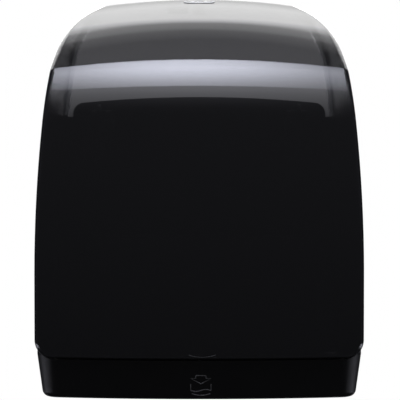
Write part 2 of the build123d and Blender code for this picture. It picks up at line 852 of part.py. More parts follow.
# Pins of the cover's hinge
with BuildPart() as hinge_pins:
    for side in (-1, 1):
        with BuildSketch(side_plane(side * hinge_bracket_inner)):
            with Locations((hinge_setback, hinge_z)):
                Circle(hinge_pin_radius)
        extrude(amount=-side * (hinge_pin_outer - hinge_bracket_inner))

# Pins and springs of the roll arms
with BuildPart() as arm_pins:
    with BuildSketch(Plane.XY.offset(lug_levels[1])):
        with Locations(pivot_places):
            Circle(pivot_pin_radius)
    extrude(amount=lug_levels[0] + lug_thickness - lug_levels[1])
    with BuildSketch(Plane.XY.offset(lug_levels[0] + lug_thickness)):
        with Locations(pivot_places):
            Circle(pivot_head_radius)
    extrude(amount=pivot_head_height)

with BuildPart() as arm_springs:
    with BuildSketch(Plane.XY.offset(arm_low_z - spring_room)):
        with Locations(pivot_places):
            Circle(arm_spring_radius)
            Circle(arm_spring_radius - arm_spring_wall, mode=Mode.SUBTRACT)
    extrude(amount=spring_room - face_gap)

# Right roll arm with its axle, and the left one mirrored
with BuildPart() as right_roll_arm:
    with BuildSketch(Plane.XY.offset(roll_z - arm_end_radius)):
        Polygon(
            (arm_inner, -arm_bend_setback),
            (arm_inner, -roll_setback - arm_end_radius),
            (arm_inner + arm_thickness, -roll_setback - arm_end_radius),
            (arm_inner + arm_thickness, -arm_bend_setback - arm_thickness),
            (pivot_half, -pivot_setback - pivot_boss_radius),
            (pivot_half - pivot_boss_radius, -pivot_setback),
            align=None,
        )
        with Locations((pivot_half, -pivot_setback)):
            Circle(pivot_boss_radius)
    extrude(amount=2 * arm_end_radius)
    with BuildSketch(side_plane(overall_width)):
        Polygon(
            (arm_root_setback, arm_low_z),
            (arm_bend_setback, arm_low_z),
            (roll_setback, roll_z - arm_end_radius),
            (roll_setback, roll_z + arm_end_radius),
            (arm_bend_setback, arm_high_z),
            (arm_root_setback, arm_high_z),
            align=None,
        )
        with Locations((roll_setback, roll_z)):
            Circle(arm_end_radius)
    extrude(amount=overall_width, mode=Mode.INTERSECT)
    with BuildSketch(side_plane(arm_inner)):
        with Locations((roll_setback, roll_z)):
            Circle(axle_radius)
    extrude(amount=arm_inner - axle_end)
    with BuildSketch(Plane.XY.offset(arm_low_z)):
        with Locations((pivot_half, -pivot_setback)):
            Circle(pivot_pin_radius + running_gap)
    extrude(amount=2 * arm_root_half, mode=Mode.SUBTRACT)

with BuildPart() as left_roll_arm:
    mirror(right_roll_arm.part, about=Plane.YZ)

# Right core hub and its clip, and the left ones mirrored
with BuildPart() as right_core_hub:
    with BuildSketch(side_plane(hub_face + hub_flange_thickness)):
        with Locations((roll_setback, roll_z)):
            Circle(hub_flange_radius)
    extrude(amount=hub_flange_thickness)
    fillet(right_core_hub.edges(), hub_flange_thickness / 4)
    with BuildSketch(side_plane(hub_face)):
        with Locations((roll_setback, roll_z)):
            Circle(hub_plug_radius)
    extrude(amount=hub_face - hub_plug_end)
    fillet(right_core_hub.edges().group_by(Axis.X)[0], hub_plug_taper)
    with BuildSketch(side_plane(hub_face)):
        with Locations((roll_setback, roll_z)):
            with PolarLocations(hub_rib_radius / 2, hub_rib_count):
                Rectangle(hub_rib_radius, hub_rib_thickness)
    extrude(amount=(hub_face - hub_plug_end) / 2)
    with BuildSketch(side_plane(hub_face + hub_flange_thickness)):
        with Locations((roll_setback, roll_z)):
            Circle(axle_radius + running_gap)
    extrude(amount=hub_face + hub_flange_thickness - hub_plug_end, mode=Mode.SUBTRACT)

with BuildPart() as left_core_hub:
    mirror(right_core_hub.part, about=Plane.YZ)

with BuildPart() as right_hub_clip:
    with BuildSketch(side_plane(axle_end + clip_thickness)):
        with Locations((roll_setback, roll_z)):
            Circle(clip_radius)
            Circle(axle_radius, mode=Mode.SUBTRACT)
    extrude(amount=clip_thickness)

with BuildPart() as left_hub_clip:
    mirror(right_hub_clip.part, about=Plane.YZ)

# Right side plate of the feed module, and the left one mirrored
pinch_reach = drum_radius + band_proud + pinch_gap + pinch_radius
pinch_turn = math.radians(pinch_angle)
pinch_place = (drum_setback + pinch_reach * math.cos(pinch_turn), drum_z + pinch_reach * math.sin(pinch_turn))
plate_low_z = underside_z + plate_low_height
plate_high_z = underside_z + plate_high_height
with BuildPart() as module_right_plate:
    with BuildSketch(side_plane(plate_outer)) as plate:
        Polygon(
            (plate_seat, plate_low_z),
            (plate_front, plate_low_z),
            (plate_front, plate_high_z),
            (plate_seat, plate_high_z),
            align=None,
        )
        fillet(plate.vertices().group_by(Axis.X)[-1].sort_by(Axis.Y)[-1:], plate_front_round)
        fillet(plate.vertices().group_by(Axis.X)[0], plate_corner_round)
        with Locations((drum_setback, drum_z)):
            Circle(bush_radius, mode=Mode.SUBTRACT)
        with Locations((pinch_place[0], pinch_place[1] + pinch_spring_length / 2)):
            Rectangle(2 * block_half, 2 * block_half + pinch_spring_length, mode=Mode.SUBTRACT)
    extrude(amount=plate_thickness)
    with BuildSketch(Plane.XZ.offset(plate_seat)):
        with Locations((frame_screw_half, underside_z + (frame_screw_low + frame_screw_high) / 2)):
            Rectangle(flange_width, frame_screw_high - frame_screw_low + 2 * flange_width)
        with Locations(frame_screw_places):
            Circle(frame_screw_radius + running_gap, mode=Mode.SUBTRACT)
    extrude(amount=plate_thickness)

with BuildPart() as module_left_plate:
    mirror(module_right_plate.part, about=Plane.YZ)

with BuildPart() as module_screws:
    with BuildSketch(Plane.XZ.offset(plate_seat + plate_thickness)):
        with Locations(frame_screw_places):
            Circle(frame_head_radius)
    extrude(amount=frame_head_height)
    with BuildSketch(Plane.XZ.offset(panel_wall + face_gap)):
        with Locations(frame_screw_places):
            Circle(frame_screw_radius)
    extrude(amount=plate_seat + plate_thickness - panel_wall - face_gap)
    with BuildSketch(Plane.XZ.offset(plate_seat + plate_thickness + frame_head_height)):
        with Locations(frame_screw_places):
            add(cross_slot(frame_head_radius))
    extrude(amount=-frame_head_height * cross_depth_share, mode=Mode.SUBTRACT)

# Panels, guides and stripper between the side plates
with BuildPart() as module_front_panel:
    with BuildSketch(side_plane(module_half)):
        with BuildLine():
            outer = CenterArc(
                (drum_setback, drum_z), front_panel_radius + panel_skin, 0, front_panel_high_angle
            )
            inner = CenterArc((drum_setback, drum_z), front_panel_radius, 0, front_panel_high_angle)
            Line(outer @ 1, inner @ 1)
            Polyline(
                inner @ 0,
                ((inner @ 0).X, underside_z + front_panel_low_height),
                ((outer @ 0).X, underside_z + front_panel_low_height),
                outer @ 0,
            )
        make_face()
    extrude(amount=2 * module_half)

with BuildPart() as rear_guide:
    with BuildSketch(side_plane(module_half)):
        with BuildLine():
            outer = CenterArc(
                (drum_setback, drum_z),
                guide_radius + panel_skin,
                guide_start_angle,
                guide_end_angle - guide_start_angle,
            )
            inner = CenterArc(
                (drum_setback, drum_z),
                guide_radius,
                guide_start_angle,
                guide_end_angle - guide_start_angle,
            )
            Line(outer @ 1, inner @ 1)
            Line(outer @ 0, inner @ 0)
        make_face()
    extrude(amount=2 * module_half)

with BuildPart() as outlet_chute:
    with BuildSketch(side_plane(module_half)):
        with BuildLine():
            Polyline(
                (chute_top_setback, underside_z + chute_top_height),
                (chute_lip_setback, underside_z + chute_floor_height),
                (chute_rear_setback, underside_z + chute_floor_height),
            )
        trace(line_width=panel_skin)
    extrude(amount=2 * module_half)

with BuildPart() as stripper_comb:
    with BuildSketch(radial_plane(module_half, stripper_angle)):
        with Locations((stripper_bar_radius, 0)):
            Rectangle(stripper_bar_size, stripper_bar_size)
    extrude(amount=2 * module_half)
    for x in spaced(stripper_finger_count, band_pitch):
        with BuildSketch(radial_plane(x + stripper_finger_width / 2, stripper_angle)):
            Polygon(
                (stripper_tip_radius, -stripper_tip_size / 2),
                (stripper_bar_radius, -stripper_bar_size / 2),
                (stripper_bar_radius, stripper_bar_size / 2),
                (stripper_tip_radius, stripper_tip_size / 2),
                align=None,
            )
        extrude(amount=stripper_finger_width)

# Bushings of the drum shaft
with BuildPart() as drum_bushings:
    for side in (-1, 1):
        with BuildSketch(side_plane(side * plate_outer)):
            with Locations((drum_setback, drum_z)):
                Circle(bush_radius)
                Circle(shaft_radius + running_gap, mode=Mode.SUBTRACT)
        extrude(amount=side * plate_thickness)
        with BuildSketch(side_plane(side * module_half)):
            with Locations((drum_setback, drum_z)):
                Circle(bush_flange_radius)
                Circle(shaft_radius + running_gap, mode=Mode.SUBTRACT)
        extrude(amount=side * bush_flange_thickness)

# Drum: shell, end caps, shaft and grip bands
slot_angle = 180
band_inner_radius = drum_radius + band_proud - band_depth
with BuildPart() as drum_shell:
    with BuildSketch(radial_plane(drum_half, slot_angle)):
        Circle(drum_radius)
        Circle(drum_radius - drum_wall, mode=Mode.SUBTRACT)
    extrude(amount=2 * drum_half)
    for x in spaced(band_count, band_pitch):
        with BuildSketch(radial_plane(x + band_width / 2, slot_angle)):
            Circle(drum_radius + overrun)
            Circle(band_inner_radius, mode=Mode.SUBTRACT)
        extrude(amount=band_width, mode=Mode.SUBTRACT)
    with BuildSketch(radial_plane(slot_half, slot_angle)):
        with Locations((drum_radius, slot_shift)):
            Rectangle(drum_radius, slot_width)
    extrude(amount=2 * slot_half, mode=Mode.SUBTRACT)

with BuildPart() as grip_bands:
    for x in spaced(band_count, band_pitch):
        with BuildSketch(radial_plane(x + band_width / 2, slot_angle)):
            Circle(drum_radius + band_proud)
            Circle(band_inner_radius, mode=Mode.SUBTRACT)
            with Locations((drum_radius, slot_shift)):
                Rectangle(drum_radius, slot_width, mode=Mode.SUBTRACT)
        extrude(amount=band_width)

with BuildPart() as drum_right_cap:
    with BuildSketch(radial_plane(drum_half, slot_angle)):
        Circle(drum_radius - drum_wall)
        Circle(shaft_radius, mode=Mode.SUBTRACT)
        with Locations((knife_pivot_radial, -knife_pivot_drop)):
            Circle(knife_pin_radius + running_gap, mode=Mode.SUBTRACT)
    extrude(amount=cap_thickness)

with BuildPart() as drum_left_cap:
    with BuildSketch(radial_plane(cap_thickness - drum_half, slot_angle)):
        Circle(drum_radius - drum_wall)
        Circle(shaft_radius, mode=Mode.SUBTRACT)
        with Locations((knife_pivot_radial, -knife_pivot_drop)):
            Circle(knife_pin_radius + running_gap, mode=Mode.SUBTRACT)
        with Locations((follower_hole_radial, -follower_drop)):
            Circle(follower_hole_radius, mode=Mode.SUBTRACT)
    extrude(amount=cap_thickness)

with BuildPart() as drum_shaft:
    with BuildSketch(radial_plane(shaft_right, slot_angle)):
        Circle(shaft_radius)
    extrude(amount=shaft_right + shaft_left)

# Feed knob on the right end of the shaft
with BuildPart() as feed_knob:
    with BuildSketch(radial_plane(knob_outer, slot_angle)):
        Circle(knob_radius)
        Circle(knob_radius - knob_rim, mode=Mode.SUBTRACT)
        with PolarLocations(knob_radius + knob_grip_radius / 2, knob_grip_count):
            Circle(knob_grip_radius, mode=Mode.SUBTRACT)
    extrude(amount=knob_width)
    with BuildSketch(radial_plane(knob_outer - knob_width + knob_web, slot_angle)):
        Circle(knob_radius - knob_rim)
    extrude(amount=knob_web)
    with BuildSketch(radial_plane(knob_outer, slot_angle)):
        Circle(knob_hub_radius)
    extrude(amount=knob_width)
    with BuildSketch(radial_plane(knob_outer, slot_angle)):
        Circle(shaft_radius)
    extrude(amount=knob_width, mode=Mode.SUBTRACT)

# Case of the return spring on the left side plate
with BuildPart() as spring_case:
    with BuildSketch(radial_plane(-plate_outer, 90)):
        Circle(case_radius)
        with PolarLocations(case_lug_ring, case_lug_count):
            Circle(case_lug_radius)
    extrude(amount=case_depth)
    with BuildSketch(radial_plane(-plate_outer, 90)):
        Circle(case_radius - case_wall)
    extrude(amount=case_depth, mode=Mode.SUBTRACT)
    with BuildSketch(radial_plane(-plate_outer, 90)):
        with PolarLocations(case_lug_ring, case_lug_count):
            Circle(case_screw_radius + running_gap)
    extrude(amount=case_depth, mode=Mode.SUBTRACT)

with BuildPart() as spring_case_lid:
    with BuildSketch(radial_plane(-case_outer, 90)):
        Circle(case_radius)
        with PolarLocations(case_lug_ring, case_lug_count):
            Circle(case_lug_radius)
            Circle(case_screw_radius + running_gap, mode=Mode.SUBTRACT)
    extrude(amount=case_lid)

with BuildPart() as case_screws:
    with BuildSketch(radial_plane(-case_outer - case_lid, 90)):
        with PolarLocations(case_lug_ring, case_lug_count):
            Circle(case_head_radius)
    extrude(amount=case_head_height)
    with BuildSketch(radial_plane(-plate_outer - face_gap, 90)):
        with PolarLocations(case_lug_ring, case_lug_count):
            Circle(case_screw_radius)
    extrude(amount=case_depth + case_lid - face_gap)
    with BuildSketch(radial_plane(-case_outer - case_lid - case_head_height, 90)):
        with PolarLocations(case_lug_ring, case_lug_count):
            add(cross_slot(case_head_radius))
    extrude(amount=-case_head_height * cross_depth_share, mode=Mode.SUBTRACT)

# Spiral return spring in the case, drawn as half turns that grow by one step each
with BuildPart() as return_spring:
    with BuildSketch(radial_plane(-plate_outer - (case_depth - spiral_width) / 2, 90)):
        with BuildLine():
            for index in range(2 * spiral_turns):
                CenterArc(
                    (spiral_step / 2 * (index % 2), 0),
                    spiral_radius + spiral_step / 2 * index,
                    180 * (index % 2),
                    180,
                )
        trace(line_width=spiral_strip)
    extrude(amount=spiral_width)

# Knife cam on the inside of the left side plate
with BuildPart() as knife_cam:
    with BuildSketch(radial_plane(cam_floor - module_half, slot_angle)):
        Circle(cam_outer_radius)
        Circle(cam_bore_radius, mode=Mode.SUBTRACT)
    extrude(amount=cam_floor)
    with BuildSketch(radial_plane(cam_floor + cam_wall_depth - module_half, slot_angle)):
        Circle(cam_outer_radius)
        Circle(cam_track_outer, mode=Mode.SUBTRACT)
        Circle(cam_track_inner)
        Circle(cam_bore_radius, mode=Mode.SUBTRACT)
    extrude(amount=cam_wall_depth)

# Knife inside the drum: carrier, blade and its rivets
knife_lever = Vector(0, knife_tip_radial - knife_pivot_radial, -knife_tip_rise - knife_pivot_drop)
knife_axis = Vector(0, knife_pivot_radial - drum_setback, drum_z + knife_pivot_drop)
lever_direction = knife_lever.normalized()


def knife_plane(x):
    """Side view at x about the knife's pivot, with its first coordinate along the lever."""
    return Plane(knife_axis + Vector(x, 0, 0), x_dir=lever_direction, z_dir=(-1, 0, 0))


blade_plane = Plane(knife_axis, x_dir=(1, 0, 0), z_dir=Vector(1, 0, 0).cross(lever_direction))
blade_low = knife_lever.length - blade_width
with BuildPart() as knife_carrier:
    with BuildSketch(knife_plane(knife_half)):
        Circle(knife_boss_radius)
        with Locations((knife_lever.length * knife_bar_share / 2, 0)):
            Rectangle(knife_lever.length * knife_bar_share, knife_bar_thickness)
    extrude(amount=2 * knife_half)
    with BuildSketch(knife_plane(drum_half - face_gap)):
        Circle(knife_pin_radius)
    extrude(amount=2 * (drum_half - face_gap))
    with BuildSketch(radial_plane(follower_arm_thickness - knife_half, slot_angle)):
        with BuildLine():
            Line((knife_pivot_radial, -knife_pivot_drop), (follower_radial, -follower_drop))
        trace(line_width=follower_arm_width)
    extrude(amount=follower_arm_thickness)
    with BuildSketch(radial_plane(follower_arm_thickness - knife_half, slot_angle)):
        with Locations((follower_radial, -follower_drop)):
            Circle(follower_radius)
    extrude(amount=follower_reach - knife_half + follower_arm_thickness)

with BuildPart() as knife_blade:
    with BuildSketch(blade_plane.offset(knife_bar_thickness / 2)):
        tooth = 2 * blade_half / tooth_count
        edge = []
        for index in range(tooth_count):
            edge.append((blade_half - tooth * index, knife_lever.length - tooth_depth))
            edge.append((blade_half - tooth * (index + 0.5), knife_lever.length))
        edge.append((-blade_half, knife_lever.length - tooth_depth))
        Polygon((-blade_half, blade_low), (blade_half, blade_low), *edge, align=None)
    extrude(amount=blade_thickness)

with BuildPart() as knife_rivets:
    for x in spaced(rivet_count, rivet_pitch):
        with BuildSketch(blade_plane.offset(knife_bar_thickness / 2 + blade_thickness)):
            with Locations((x, (blade_low + knife_lever.length * knife_bar_share) / 2)):
                Circle(rivet_radius)
        extrude(amount=rivet_height)

# Pinch roller with its bearing blocks and springs
with BuildPart() as pinch_shaft:
    with BuildSketch(side_plane(plate_outer + face_gap)):
        with Locations(pinch_place):
            Circle(pinch_shaft_radius)
    extrude(amount=2 * (plate_outer + face_gap))

with BuildPart() as pinch_rollers:
    for x in spaced(pinch_sleeve_count, pinch_sleeve_pitch):
        with BuildSketch(side_plane(x + pinch_sleeve_length / 2)):
            with Locations(pinch_place):
                Circle(pinch_radius)
                Circle(pinch_shaft_radius, mode=Mode.SUBTRACT)
        extrude(amount=pinch_sleeve_length)

with BuildPart() as pinch_blocks:
    for side in (-1, 1):
        with BuildSketch(side_plane(side * (module_half - (block_thickness - plate_thickness) / 2))):
            with Locations(pinch_place):
                Rectangle(2 * block_half, 2 * block_half)
                Circle(pinch_shaft_radius + running_gap, mode=Mode.SUBTRACT)
        extrude(amount=-side * block_thickness)

with BuildPart() as pinch_springs:
    with BuildSketch(Plane.XY.offset(pinch_place[1] + block_half)):
        with Locations(
            (-module_half - plate_thickness / 2, -pinch_place[0]),
            (module_half + plate_thickness / 2, -pinch_place[0]),
        ):
            Circle(pinch_spring_radius)
            Circle(pinch_spring_radius / 2, mode=Mode.SUBTRACT)
    extrude(amount=pinch_spring_length)

# One file for each piece
pieces = {
    "back_housing": back_housing,
    "hinge_pins": hinge_pins,
    "arm_pins": arm_pins,
    "arm_springs": arm_springs,
    "module_left_plate": module_left_plate,
    "module_right_plate": module_right_plate,
    "module_screws": module_screws,
    "module_front_panel": module_front_panel,
    "rear_guide": rear_guide,
    "outlet_chute": outlet_chute,
    "stripper_comb": stripper_comb,
    "drum_bushings": drum_bushings,
    "spring_case": spring_case,
    "spring_case_lid": spring_case_lid,
    "case_screws": case_screws,
    "return_spring": return_spring,
    "knife_cam": knife_cam,
    "pinch_blocks": pinch_blocks,
    "pinch_springs": pinch_springs,
    "cover_shell": cover_shell,
    "lower_skirt": lower_skirt,
    "skirt_screws": skirt_screws,
    "lock_bezel": lock_bezel,
    "lock_barrel": lock_barrel,
    "lock_tongue": lock_tongue,
    "lock_nut": lock_nut,
    "top_arch": top_arch,
    "lock_strike": lock_strike,
    "strike_rivets": strike_rivets,
    "left_roll_arm": left_roll_arm,
    "right_roll_arm": right_roll_arm,
    "left_hub_clip": left_hub_clip,
    "right_hub_clip": right_hub_clip,
    "left_core_hub": left_core_hub,
    "right_core_hub": right_core_hub,
    "drum_shell": drum_shell,
    "drum_left_cap": drum_left_cap,
    "drum_right_cap": drum_right_cap,
    "drum_shaft": drum_shaft,
    "grip_bands": grip_bands,
    "feed_knob": feed_knob,
    "knife_carrier": knife_carrier,
    "knife_blade": knife_blade,
    "knife_rivets": knife_rivets,
    "pinch_shaft": pinch_shaft,
    "pinch_rollers": pinch_rollers,
}
os.makedirs("parts", exist_ok=True)
for name, piece in pieces.items():
    piece.part.label = name
    export_step(piece.part, f"parts/{name}.step")
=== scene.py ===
import json
import math

import bpy
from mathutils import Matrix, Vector


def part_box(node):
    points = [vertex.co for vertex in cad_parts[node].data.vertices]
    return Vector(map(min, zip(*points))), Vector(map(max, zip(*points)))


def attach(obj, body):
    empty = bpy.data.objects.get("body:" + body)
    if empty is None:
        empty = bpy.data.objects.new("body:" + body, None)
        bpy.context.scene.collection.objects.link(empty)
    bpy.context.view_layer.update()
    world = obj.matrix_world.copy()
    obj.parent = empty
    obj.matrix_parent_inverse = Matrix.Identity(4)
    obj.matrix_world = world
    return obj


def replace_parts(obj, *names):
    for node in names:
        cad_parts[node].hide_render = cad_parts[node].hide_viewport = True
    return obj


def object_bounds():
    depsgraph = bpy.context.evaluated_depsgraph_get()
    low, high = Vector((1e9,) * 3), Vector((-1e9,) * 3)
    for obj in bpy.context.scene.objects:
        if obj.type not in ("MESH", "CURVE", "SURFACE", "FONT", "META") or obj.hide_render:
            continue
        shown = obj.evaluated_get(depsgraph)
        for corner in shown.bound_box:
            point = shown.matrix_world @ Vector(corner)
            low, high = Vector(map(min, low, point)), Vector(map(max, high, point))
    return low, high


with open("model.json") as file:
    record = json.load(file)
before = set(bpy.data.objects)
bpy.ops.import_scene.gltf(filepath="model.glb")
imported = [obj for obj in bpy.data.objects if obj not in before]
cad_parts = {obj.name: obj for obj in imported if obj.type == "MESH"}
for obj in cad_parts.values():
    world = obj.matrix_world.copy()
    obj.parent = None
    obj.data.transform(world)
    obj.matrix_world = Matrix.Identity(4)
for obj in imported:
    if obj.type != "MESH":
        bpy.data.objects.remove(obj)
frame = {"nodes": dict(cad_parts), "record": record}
cad_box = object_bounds()
nodes = frame["nodes"]

# Camera: level, in front of the cover, framed a little upwards; lens and sensor in millimetres
camera_distance = 1.4
camera_height = -0.010
camera_lens = 131.5
camera_sensor = 36.0
camera_shift = (0.002, 0.035)

# Floor: its drop below the closed object, its size, and the grain and greys of its paper
floor_drop = 0.43
floor_radius = 1.0
floor_sides = 96
floor_grain = (300.0, 3.0)
floor_greys = (0.93, 0.97)

# Painted shade: a dark sheet behind the screw holes, seen through the cover only: insets at its sides,
# foot and head, and gap to the housing
painted_shade_inset = (0.06, 0.05, 0.015)
painted_shade_gap = 0.002
painted_shade_grain = (240.0, 3.0)
# Dark greys of the painted shade sheet behind the screw holes
painted_shade_greys = (0.010, 0.014)

# Roughness of the floor and of the dark sheet of painted shade
stage_roughness = 0.9

# Softbox above the front: tilt and heading in degrees, place of its peak, and fading along its sides
softbox_centre = (0.0, -0.70, 1.27)
softbox_turn = (25.5, 0)
softbox_size = (1.9, 0.86)
softbox_power = 55.0
softbox_colour = (0.84, 0.865, 1.0)
softbox_peak = (0.465, 0.66)
softbox_falloff = (8.8, 3.0)

# Panel behind the object: shares of its height, each with the share of its strength there
backlight_centre = (0.0, 1.30, 0.80)
backlight_turn = (90, 180)
backlight_size = (2.8, 2.8)
backlight_power = 33.0
backlight_shares = [
    (0.48, 0.0),
    (0.55, 0.53),
    (0.70, 1.0),
    (0.735, 1.0),
    (0.771, 0.5),
    (0.829, 0.38),
    (0.864, 0.17),
    (0.99, 0.0),
]

# Room as plain light
room_level = 0.28

# White part of the mirrored room: where it starts and ends along the parts of a direction
white_span = (0.715, 0.760)
white_bow = 0.1
above_span = (0.15, 0.35)
level_span = (-0.06, 0.0)
middle_span = (0.14, 0.20)

# Extra strength of its middle band level with the object: mirrored, and seen through rough plastic
middle_levels = (8.0, 0.5)

# Dim part of the mirrored room: levels from low to high, share of them towards the back, and glow
front_levels = (0.096, 0.156)
front_tint = (0.87, 0.88, 1.0)
front_span = (-0.2, 0.2)
back_share = 0.33
glow_level = 1.1
glow_power = 4
glow_depth = (-0.32, -0.28)
glow_height = (0.2, 0.755)

# Lighter part of the mirrored room, low at both sides: levels from front to back, and its borders
side_levels = (2.6, 0.2)
side_front = (-0.42, -0.32)
side_back = (0.25, 0.55)
side_foot = (-0.48, -0.38)
side_head = (-0.295, -0.280)
side_slope = 0.104

# Moulded plastic: scale and detail of its patterns, shades, spread of roughness, depth and edge radius
plastic_clouds = (38.0, 5.0)
plastic_sheen = (170.0, 3.0)
plastic_grain = (1600.0, 2.0)
plastic_shades = (0.78, 1.22)
plastic_spread = (-0.02, 0.03)
plastic_relief = (0.00004, 0.0004)

# Moulded plastics: colour, roughness and strength of the reflection
moulded_looks = {
    "skirt_plastic": ((0.0022, 0.0022, 0.0022), 0.30, 0.18),
    "housing_plastic": ((0.016, 0.016, 0.017), 0.42, 0.5),
    "frame_plastic": ((0.036, 0.036, 0.039), 0.45, 0.5),
    "drum_plastic": ((0.10, 0.10, 0.105), 0.40, 0.5),
    "arm_plastic": ((0.026, 0.026, 0.028), 0.38, 0.5),
    "touch_plastic": ((0.19, 0.20, 0.21), 0.40, 0.5),
    "bearing_plastic": ((0.55, 0.54, 0.50), 0.35, 0.5),
    "bezel_plastic": ((0.40, 0.40, 0.39), 0.22, 0.5),
    "sign_grey": ((0.045, 0.045, 0.046), 0.42, 0.5),
    "ridge_grey": ((0.016, 0.016, 0.017), 0.30, 0.5),
}

# See-through plastic: its patterns, how far flow marks move the tint, and satin of walls at the sides
flow_marks = (9.0, 2.0, (1.0, 1.0, 0.35))
flow_reach = 0.004
haze_marks = (60.0, 4.0)
haze_roughness = (0.012, 0.035)
satin_roughness = 0.32
satin_span = (0.85, 0.97)

# See-through plastics: low and high tint, heights of their fade, refraction, depth tint and density
see_through_looks = {
    "smoke_cover": (
        (0.052, 0.052, 0.055),
        (0.195, 0.195, 0.20),
        (0.086, 0.116),
        1.58,
        (0.0, 0.0, 0.03),
        480.0,
    ),
    "arch_plastic": (
        (0.52, 0.53, 0.54),
        (0.60, 0.61, 0.62),
        (0.11, 0.22),
        1.49,
        (0.30, 0.32, 0.33),
        25.0,
    ),
}

# Steel: scale and detail of its patterns, shades, spread of roughness, depth and edge radius
steel_lines = (900.0, 3.0)
steel_stains = (120.0, 4.0)
steel_shades = (0.82, 1.1)
steel_spread = (-0.08, 0.1)
steel_relief = (0.00002, 0.00015)

# Steels: colour, roughness and stretch of the lines
steel_looks = {
    "steel": ((0.56, 0.56, 0.57), 0.32, (1.0, 1.0, 1.0)),
    "blade_steel": ((0.62, 0.62, 0.63), 0.24, (1.0, 0.1, 0.1)),
    "spring_steel": ((0.42, 0.42, 0.43), 0.28, (1.0, 1.0, 1.0)),
    "lock_metal": ((0.60, 0.60, 0.61), 0.18, (0.2, 1.0, 1.0)),
}

# Rubber: scale and detail of its patterns, shades, roughness, depth and edge radius, and colour
rubber_pits = (2400.0, 2.0)
rubber_dust = (70.0, 5.0)
rubber_shades = (0.8, 1.5)
rubber_roughness = (0.7, 0.9)
rubber_relief = (0.00005, 0.0002)
rubber_looks = {"rubber": ((0.024, 0.024, 0.025),)}

# Samples for the rounding of edges
edge_samples = 4

# Coil springs: wire, turns, the arm springs' legs, steps in each turn, and facets of the wire
arm_wire = 0.0013
arm_turns = 5
arm_leg = 0.010
pinch_wire = 0.0009
pinch_turns = 6
turn_steps = 24
tube_facets = 3

# Sign on the skirt: an arrow above a sheet, drawn in units of the sign's half width
sign_drop = 0.1742
sign_half = 0.0098
sign_shift = 0.0016
sign_line = 0.00045
sign_flatness = 0.35
sign_arrow = [
    (-0.5, 0.84),
    (-0.5, 0.56),
    (-1.0, 0.56),
    (0.0, 0.0),
    (1.0, 0.56),
    (0.5, 0.56),
    (0.5, 0.84),
]
sign_step = 1 / 12
wave_height = -0.66
wave_depth = 0.10
wave_steps = 24
curl_start = -0.9
curl_height = -0.98
curl_depth = 0.16
curl_steps = 22

# Thumb ridge above the middle of the cover's lower edge
ridge_half = 0.013
ridge_shift = 0.0028
ridge_drop = 0.1454
ridge_sag = 0.0024
ridge_line = 0.0004
ridge_flatness = 0.6
ridge_steps = 24

# Distance in front of the object from which the sign and the ridge are laid on it
laying_distance = 1.0


# Node helpers
def new_material(name):
    """Empty node material: its tree, its main shader and the material itself."""
    material = bpy.data.materials.new(name)
    material.use_nodes = True
    return material.node_tree, material.node_tree.nodes["Principled BSDF"], material


def noise(tree, scale, detail, stretch=(1, 1, 1)):
    """Noise in the piece's own coordinates; stretch scales it along each axis."""
    place = tree.nodes.new("ShaderNodeTexCoord")
    mapping = tree.nodes.new("ShaderNodeMapping")
    mapping.inputs["Scale"].default_value = stretch
    texture = tree.nodes.new("ShaderNodeTexNoise")
    texture.inputs["Scale"].default_value = scale
    texture.inputs["Detail"].default_value = detail
    tree.links.new(place.outputs["Object"], mapping.inputs["Vector"])
    tree.links.new(mapping.outputs["Vector"], texture.inputs["Vector"])
    return texture.outputs["Fac"]


def split(tree, vector):
    """The X, Y and Z parts of a vector."""
    node = tree.nodes.new("ShaderNodeSeparateXYZ")
    tree.links.new(vector, node.inputs["Vector"])
    return node.outputs


def math_node(tree, operation, first, second=0.0):
    """Result of an operation on two values, each a socket or a number."""
    node = tree.nodes.new("ShaderNodeMath")
    node.operation = operation
    for socket, value in zip(node.inputs, (first, second)):
        if isinstance(value, (int, float)):
            socket.default_value = value
        else:
            tree.links.new(value, socket)
    return node.outputs[0]


def product(tree, first, *others):
    """Product of values, each a socket or a number."""
    for other in others:
        first = math_node(tree, "MULTIPLY", first, other)
    return first


def ranged(tree, value, low, high, start=0.35, end=0.65):
    """Maps value from start..end, by default the middle of a noise, to low..high."""
    node = tree.nodes.new("ShaderNodeMapRange")
    node.inputs["From Min"].default_value = start
    node.inputs["From Max"].default_value = end
    node.inputs["To Min"].default_value = low
    node.inputs["To Max"].default_value = high
    tree.links.new(value, node.inputs["Value"])
    return node.outputs["Result"]


def blended(tree, factor, first, second):
    """Colour between first and second by factor."""
    node = tree.nodes.new("ShaderNodeMix")
    node.data_type = "RGBA"
    node.inputs["A"].default_value = (*first, 1)
    node.inputs["B"].default_value = (*second, 1)
    tree.links.new(factor, node.inputs["Factor"])
    return node.outputs["Result"]


def shaded(tree, pattern, colour, shades):
    """Colour that goes with the pattern from its dark to its light shade."""
    dark, light = (tuple(channel * shade for channel in colour) for shade in shades)
    return blended(tree, pattern, dark, light)


def bumped(tree, height, depth, edge):
    """Surface relief of the given depth, with edges rounded over by the radius edge."""
    rounding = tree.nodes.new("ShaderNodeBevel")
    rounding.samples = edge_samples
    rounding.inputs["Radius"].default_value = edge
    node = tree.nodes.new("ShaderNodeBump")
    node.inputs["Distance"].default_value = depth
    tree.links.new(height, node.inputs["Height"])
    tree.links.new(rounding.outputs["Normal"], node.inputs["Normal"])
    return node.outputs["Normal"]


# Materials
def moulded_plastic(name, colour, roughness, shine):
    """Moulded plastic with a fine grain, cloudy colour and uneven sheen."""
    tree, shader, material = new_material(name)
    clouds = noise(tree, *plastic_clouds)
    sheen = noise(tree, *plastic_sheen)
    low, high = (roughness + step for step in plastic_spread)
    tree.links.new(shaded(tree, clouds, colour, plastic_shades), shader.inputs["Base Color"])
    tree.links.new(ranged(tree, sheen, low, high), shader.inputs["Roughness"])
    tree.links.new(bumped(tree, noise(tree, *plastic_grain), *plastic_relief), shader.inputs["Normal"])
    shader.inputs["Specular IOR Level"].default_value = shine
    return material


